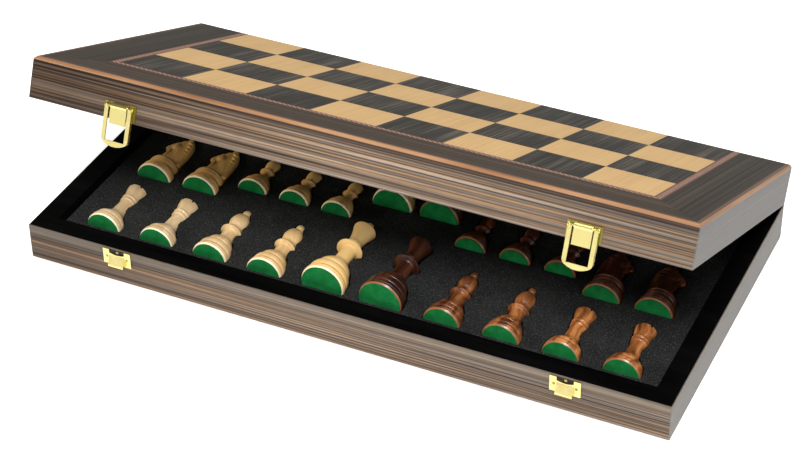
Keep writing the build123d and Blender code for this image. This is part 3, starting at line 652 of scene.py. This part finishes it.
def queen_profile():
    return pedestal(QUEEN_RADIUS, 26.0, 4.8) + [
        (32.0, 4.8),
        (34.3, 6.0, 33.6, 5.1),
        (34.8, 8.0),
        (35.9, 8.1, 35.2, 8.6),
        (37.8, 6.0, 37.3, 7.6),
        (38.6, 6.1),
        (39.8, 4.8),
        (44.0, 4.8),
        (55.0, 7.6, 50.5, 5.4),
        (55.9, 7.3, 55.9, 7.8),
        (54.8, 6.0),
        (57.8, 2.3, 57.4, 4.8),
        (58.2, 1.5),
        (60.0, 2.2, 58.6, 2.3),
        (62.0, 0.0, 61.9, 2.2),
    ]


def bishop_profile():
    return pedestal(BISHOP_RADIUS, 24.2, 4.9) + [
        (28.0, 4.9),
        (29.9, 5.6, 29.6, 5.0),
        (30.1, 7.1),
        (30.5, 7.5),
        (31.0, 7.5),
        (31.4, 7.0),
        (33.4, 5.4, 33.0, 6.4),
        (34.4, 5.4),
        (35.4, 4.6),
        (36.2, 4.7),
        (41.2, 6.5, 38.2, 6.4),
        (49.6, 2.9, 47.0, 6.2),
        (50.8, 2.0, 50.2, 2.2),
        (53.0, 2.9, 51.2, 3.1),
        (56.0, 0.0, 55.7, 2.7),
    ]


def rook_profile():
    r = ROOK_RADIUS - 0.2
    return [
        (FELT, 0),
        (FELT, 0.935 * r),
        (FELT + 0.075 * r, r),
        (2.8, r),
        (2.95, 0.975 * r),
        (3.3, 0.975 * r),
        (3.5, 0.995 * r),
        (5.6, 0.96 * r, 5.0, 1.0 * r),
        (6.2, 0.86 * r, 6.2, 0.92 * r),
        (6.8, 0.86 * r),
        (7.3, 0.91 * r, 6.9, 0.91 * r),
        (9.8, 0.86 * r, 8.9, 0.92 * r),
        (10.7, 0.70 * r, 10.7, 0.80 * r),
        (11.4, 0.67 * r),
        (12.0, 0.70 * r, 11.5, 0.70 * r),
        (15.6, 6.2, 13.8, 7.9),
        (21.0, 4.9, 17.6, 4.9),
        (28.0, 4.7),
        (30.4, 4.9),
        (31.0, 5.4, 30.8, 5.0),
        (32.2, 5.4, 31.6, 5.7),
        (32.7, 5.0),
        (33.6, 5.1),
        (34.1, 5.7, 33.9, 5.3),
        (35.4, 5.7, 34.7, 6.05),
        (36.0, 5.3),
        (37.4, 5.6),
        (40.5, 6.5, 39.0, 5.9),
        (44.4, 7.1, 42.6, 7.0),
        (45.2, 7.0, 45.0, 7.3),
        (45.5, 6.6),
        (45.5, 5.1),
        (42.6, 4.8),
        (42.4, 0.0),
    ]


def pawn_profile():
    return pedestal(PAWN_RADIUS, 19.4, 4.0, 0.92) + [
        (20.8, 4.0),
        (22.6, 5.6, 21.6, 4.4),
        (23.4, 5.6, 23.2, 5.9),
        (24.8, 4.2, 24.5, 5.2),
        (26.2, 3.9, 25.2, 3.8),
        (31.6, 5.4, 27.8, 5.3),
        (35.4, 3.9, 34.2, 5.4),
        (37.0, 0.0, 36.7, 2.2),
    ]


def box_part(made, low, high, turn=None):
    """Adds a closed box between two corners, turned if asked."""
    verts = bmesh.ops.create_cube(made, size=1)["verts"]
    size = [b - a for a, b in zip(low, high)]
    centre = [(a + b) / 2 for a, b in zip(low, high)]
    bmesh.ops.scale(made, vec=size, verts=verts)
    bmesh.ops.translate(made, vec=centre, verts=verts)
    if turn is not None:
        bmesh.ops.transform(made, matrix=turn, verts=verts)
    return verts


def king_mesh(material):
    """Turned king with a cross whose arms are rounded."""
    made = bmesh.new()
    lathe(made, curve(king_profile()))
    lathe(made, [(65.6, 0), (65.6, 2.2), (67.0, 1.5), (67.5, 1.9), (68.1, 1.6), (68.2, 0)], sides=24)
    cross = box_part(made, (-1.3, -1.2, 67.6), (1.3, 1.2, 72.0))
    cross += box_part(made, (-2.9, -1.2, 68.9), (2.9, 1.2, 71.1))
    edges = list({e for v in cross for e in v.link_edges})
    bmesh.ops.bevel(made, geom=edges, offset=0.45, segments=3, affect="EDGES")
    return finish_mesh("king", made, material)


def queen_mesh(material):
    """Turned queen whose crown's rim is scalloped."""
    points, dip = 8, 1.1
    made = bmesh.new()
    lathe(made, curve(queen_profile()), sides=64)
    for vert in made.verts:
        height, around = vert.co.z, Vector(vert.co.xy)
        if 54.5 < height < 56.5 and around.length > 6.0:
            angle = around.angle_signed(Vector((1, 0)))
            vert.co.z -= dip * max(0.0, cos(points * angle)) ** 2
    return finish_mesh("queen", made, material)


def bishop_mesh(material):
    made = bmesh.new()
    lathe(made, curve(bishop_profile()))
    return finish_mesh("bishop", made, material)


def pawn_mesh(material):
    made = bmesh.new()
    lathe(made, curve(pawn_profile()))
    return finish_mesh("pawn", made, material)


def apply_modifiers(mesh, *settings):
    """The mesh with modifiers applied; settings are (kind, {property: value}) pairs."""
    holder = bpy.data.objects.new("holder", mesh)
    bpy.context.scene.collection.objects.link(holder)
    for kind, values in settings:
        modifier = holder.modifiers.new(kind, kind)
        for key, value in values.items():
            setattr(modifier, key, value)
    graph = bpy.context.evaluated_depsgraph_get()
    result = bpy.data.meshes.new_from_object(holder.evaluated_get(graph))
    result.name = mesh.name
    bpy.data.objects.remove(holder)
    return result


def rook_mesh(material):
    """Turned tower whose rim is notched six times."""
    made = bmesh.new()
    lathe(made, curve(rook_profile()), sides=60)
    body = finish_mesh("rook", made, material)
    cuts = bmesh.new()
    for k in range(3):
        box_part(cuts, (-10, -0.65, 43.8), (10, 0.65, 47), Matrix.Rotation(pi * k / 3, 4, "Z"))
    cutter_mesh = finish_mesh("rook_cuts", cuts, material)
    cutter = bpy.data.objects.new("rook_cuts", cutter_mesh)
    bpy.context.scene.collection.objects.link(cutter)
    notched = apply_modifiers(
        body, ("BOOLEAN", {"object": cutter, "operation": "DIFFERENCE", "solver": "EXACT", "use_self": True})
    )
    bpy.data.objects.remove(cutter)
    return notched


def blob(made, centre, radii, turn=0.0, lean=0.0):
    """Adds a rounded lump, turned in the horse's side view (about Y) and leaned sideways (about Z)."""
    verts = bmesh.ops.create_icosphere(made, subdivisions=3, radius=1)["verts"]
    bmesh.ops.scale(made, vec=radii, verts=verts)
    bmesh.ops.rotate(made, matrix=Matrix.Rotation(radians(turn), 3, "Y"), verts=verts)
    bmesh.ops.rotate(made, matrix=Matrix.Rotation(radians(lean), 3, "Z"), verts=verts)
    bmesh.ops.translate(made, vec=centre, verts=verts)


# A knight's head seen from its left, as (x towards the muzzle, height) points, and its half thickness by height.
HORSE = [
    (-9.6, 16.0), (-10.5, 21.5), (-10.8, 28.0), (-10.5, 34.0), (-9.6, 39.5), (-7.8, 44.5), (-5.4, 48.0),
    (-3.4, 50.6), (-2.0, 50.0), (-1.6, 46.6), (0.8, 44.6), (3.4, 42.6), (6.0, 40.6), (8.3, 38.4), (9.6, 36.4),
    (9.3, 34.2), (7.7, 32.8), (6.0, 33.2), (4.2, 32.8), (3.8, 29.8), (4.8, 25.6), (5.8, 20.8), (6.6, 16.0),
]  # fmt: skip


def knight_mesh(material):
    """Horse's head carved from one outline, rounded and given cheeks, eyes, ears and a mane, on a turned foot."""
    made = bmesh.new()
    outline = [made.verts.new((x, -1, height)) for x, height in HORSE]
    made.faces.new(outline)
    bmesh.ops.triangulate(made, faces=made.faces)
    drawn = bmesh.ops.extrude_face_region(made, geom=made.faces[:])["geom"]
    for vert in [v for v in drawn if isinstance(v, bmesh.types.BMVert)]:
        vert.co.y = 1
    for vert in made.verts:
        ahead = max(0.0, vert.co.x - 2) / 8
        vert.co.y *= 5.8 - 0.05 * (vert.co.z - 15) - 1.9 * ahead
    for side in (-1, 1):
        blob(made, (1.8, 3.6 * side, 37.3), (3.4, 1.6, 3.6), turn=30)
        blob(made, (2.6, 3.7 * side, 41.4), (1.2, 0.8, 0.8), turn=30)
        blob(made, (7.7, 2.2 * side, 36.2), (1.3, 0.8, 1.1), turn=30)
        blob(made, (-3.2, 1.8 * side, 47.6), (1.3, 1.0, 3.2), turn=-14)
        for k in range(7):
            blob(made, (-8.5 + 0.09 * k * k, 3.2 * side, 19.6 + 4.0 * k), (2.8, 2.2, 1.3), turn=-32)
    lumps = finish_mesh("knight", made, material)
    head = apply_modifiers(
        lumps,
        ("REMESH", {"mode": "VOXEL", "voxel_size": 0.42 * MM}),
        ("SMOOTH", {"factor": 0.5, "iterations": 6}),
    )
    whole = bmesh.new()
    whole.from_mesh(head)
    bmesh.ops.scale(whole, vec=(1 / MM,) * 3, verts=whole.verts)
    r = KNIGHT_RADIUS
    foot = [
        (FELT, 0),
        (FELT, 0.935 * r),
        (FELT + 0.075 * r, r),
        (0.20 * r, r),
        (0.215 * r, 0.97 * r),
        (0.25 * r, 0.97 * r),
        (0.27 * r, 0.995 * r),
        (0.40 * r, 0.985 * r),
        (0.415 * r, 0.95 * r),
        (0.45 * r, 0.95 * r),
        (0.47 * r, 0.975 * r),
        (0.56 * r, 0.94 * r, 0.54 * r, 0.98 * r),
        (0.62 * r, 0.64 * r, 0.64 * r, 0.80 * r),
        (0.82 * r, 0.62 * r),
        (0.88 * r, 0.84 * r, 0.83 * r, 0.80 * r),
        (1.00 * r, 0.88 * r, 0.92 * r, 0.88 * r),
        (1.02 * r, 0.85 * r),
        (1.06 * r, 0.85 * r),
        (1.08 * r, 0.88 * r),
        (1.20 * r, 0.86 * r, 1.14 * r, 0.88 * r),
        (1.30 * r, 0.72 * r, 1.30 * r, 0.82 * r),
        (1.34 * r, 0.0),
    ]
    lathe(whole, curve(foot))
    return finish_mesh("knight", whole, material, smooth_angle=50)


def even_row(first, last, radii):
    """Middles of a row of feet with equal gaps between them."""
    feet = sum(a + b for a, b in zip(radii, radii[1:]))
    gap = (last - first - feet) / (len(radii) - 1)
    middles = [first]
    for a, b in zip(radii, radii[1:]):
        middles.append(middles[-1] + a + gap + b)
    return middles


# Distances out from the tray's middle, and of each row's felts from the tray's front.
KING_X, QUEEN_X, LAST_ROOK_X, LAST_KNIGHT_X = 20.0, 17.0, TRAY_HALF - 26.4, TRAY_HALF - 28.4
QUEEN_TO_PAWN = 5.8
FIRST_PAWN_X = QUEEN_X + QUEEN_RADIUS + QUEEN_TO_PAWN + PAWN_RADIUS
FRONT_ROW, KNIGHT_ROW, PAWN_ROW, QUEEN_ROW, BACK_ROW = 10.0, 72.0, 85.8, 106.8, 138.0
KING_LIFT, QUEEN_LIFT, LIFT = 2.2, 0.0, -2.0
front_x = even_row(KING_X, LAST_ROOK_X, [KING_RADIUS] + [BISHOP_RADIUS] * 2 + [ROOK_RADIUS] * 2)
second_x = even_row(FIRST_PAWN_X, LAST_KNIGHT_X, [PAWN_RADIUS] * 3 + [KNIGHT_RADIUS] * 2)
back_x = [FIRST_PAWN_X + (LAST_KNIGHT_X - FIRST_PAWN_X) / 4 * k for k in range(5)]
pawn_spots = [(x, PAWN_ROW) for x in second_x[:3]] + [(x, BACK_ROW) for x in back_x]
# For each kind: its mesh, CAD node, foot radius, lift of its axis above the foam, and its (x, row) places.
MEN = {
    "king": (king_mesh, "king", KING_RADIUS, KING_LIFT, [(front_x[0], FRONT_ROW)]),
    "queen": (queen_mesh, "queen", QUEEN_RADIUS, QUEEN_LIFT, [(QUEEN_X, QUEEN_ROW)]),
    "bishop": (bishop_mesh, "bishops", BISHOP_RADIUS, LIFT, [(x, FRONT_ROW) for x in front_x[1:3]]),
    "rook": (rook_mesh, "rooks", ROOK_RADIUS, LIFT, [(x, FRONT_ROW) for x in front_x[3:]]),
    "knight": (knight_mesh, "knights", KNIGHT_RADIUS, LIFT, [(x, KNIGHT_ROW) for x in second_x[3:]]),
    "pawn": (pawn_mesh, "pawns", PAWN_RADIUS, LIFT, pawn_spots),
}


def seat(side, lift, spot):
    """Where a man lies: its Z runs from its felt to its tip, its X out from the tray's middle."""
    place = Vector((side * spot[0], TRAY_FRONT + spot[1], FOAM_FACE + lift)) * MM
    axes = Matrix(((side, 0, 0), (0, 0, 1), (0, -side, 0)))
    return Matrix.Translation(place) @ axes.to_4x4()


# each wood's dark, middle and light colours, its painted rim highlight, its outer colours (painted light and shade) and
# its inner colour
boxwood = turned_wood(
    "boxwood",
    (0.68, 0.41, 0.15),
    (0.76, 0.49, 0.195),
    (0.82, 0.56, 0.245),
    (0.86, 0.78, 0.56),
    ((0.50, 0.345, 0.18), (0.58, 0.41, 0.225), (0.66, 0.49, 0.28)),
    (0.80, 0.52, 0.20),
    roughness=0.42,
    coat_weight=0.15,
)
red_wood = turned_wood(
    "red_brown_wood",
    (0.028, 0.007, 0.003),
    (0.085, 0.022, 0.008),
    (0.19, 0.060, 0.022),
    (0.30, 0.12, 0.05),
    ((0.10, 0.028, 0.007), (0.29, 0.095, 0.024), (0.54, 0.21, 0.062)),
    (0.012, 0.003, 0.0015),
    roughness=0.4,
    coat_weight=0.18,
    coat_roughness=0.16,
)

shapes = {}
for colour, side, wood, wood_slot in (("white", -1, boxwood, "boxwood"), ("dark", 1, red_wood, "red_brown_wood")):
    for kind, (build, node, radius, lift, spots) in MEN.items():
        mesh = shapes[kind] = build(wood)
        disc = bmesh.new()
        lathe(disc, [(0, 0), (0, radius - FELT_INSET), (FELT, radius - FELT_INSET), (FELT, 0)])
        disc_mesh = finish_mesh(f"{colour}_{kind}_felt", disc, felt)
        for count, spot in enumerate(spots, 1):
            at = seat(side, lift, spot)
            tag = f"_{count}" if len(spots) > 1 else ""
            piece(f"{colour}_{kind}{tag}", mesh, "base", [f"{colour}_{node}"], at)
            piece(f"{colour}_{kind}{tag}_felt", disc_mesh, "base", [f"{colour}_felts"], at)


# ---- Foam ----------------------------------------------------------------------------------------------------
def pocket_outline(mesh):
    """Outline of a man seen from above, a little larger, as (x, distance from the felt) points."""
    steps, fit, least = 40, 0.4, 2.2
    tip = max(v.co.z for v in mesh.vertices) / MM
    spans = []
    for k in range(steps + 1):
        near, far = tip * (k - 1) / steps, tip * (k + 1) / steps
        found = [v.co.x / MM for v in mesh.vertices if near <= v.co.z / MM <= far]
        spans.append((min([-least] + found) - fit, max([least] + found) + fit))
    heights = [tip * k / steps for k in range(steps + 1)]
    heights[0], heights[-1] = -fit, tip + fit
    right_side = [(high, height) for (low, high), height in zip(spans, heights)]
    left_side = [(low, height) for (low, high), height in zip(spans, heights)]
    return right_side + left_side[::-1]


def foam_insert(pockets):
    """Foam block cut through for every man, over a thin foam floor."""
    data = bpy.data.curves.new("foam_cut", "CURVE")
    data.dimensions, data.fill_mode = "2D", "BOTH"
    gap, floor_low, low, high, soft = 0.3, 4.3, 5.6, FOAM_FACE, 0.35
    side, front, back = TRAY_HALF - gap, TRAY_FRONT + gap, -TRAY_FRONT - gap
    rim = [(-side, front), (side, front), (side, back), (-side, back)]
    for points in [rim] + pockets:
        spline = data.splines.new("POLY")
        spline.points.add(len(points) - 1)
        for point, (x, y) in zip(spline.points, points):
            point.co = (x * MM, y * MM, 0, 1)
        spline.use_cyclic_u = True
    data.extrude = ((high - low) / 2 - soft) * MM
    data.bevel_depth, data.bevel_resolution, data.offset = soft * MM, 2, -soft * MM
    holder = bpy.data.objects.new("foam_cut", data)
    bpy.context.scene.collection.objects.link(holder)
    cut = bpy.data.meshes.new_from_object(holder.evaluated_get(bpy.context.evaluated_depsgraph_get()))
    bpy.data.objects.remove(holder)
    whole = bmesh.new()
    whole.from_mesh(cut)
    bmesh.ops.scale(whole, vec=(1 / MM,) * 3, verts=whole.verts)
    bmesh.ops.translate(whole, vec=(0, 0, (high + low) / 2), verts=whole.verts)
    box_part(whole, (-side, front, floor_low), (side, back, low))
    return finish_mesh("foam_insert", whole, foam, smooth_angle=30)


pockets = []
for side in (-1, 1):
    for kind, (build, node, radius, lift, spots) in MEN.items():
        for x, row in spots:
            pockets.append([(side * (x + a), TRAY_FRONT + row + b) for a, b in pocket_outline(shapes[kind])])
insert = piece("foam_insert_fitted", foam_insert(pockets), "base", ["foam_insert"])
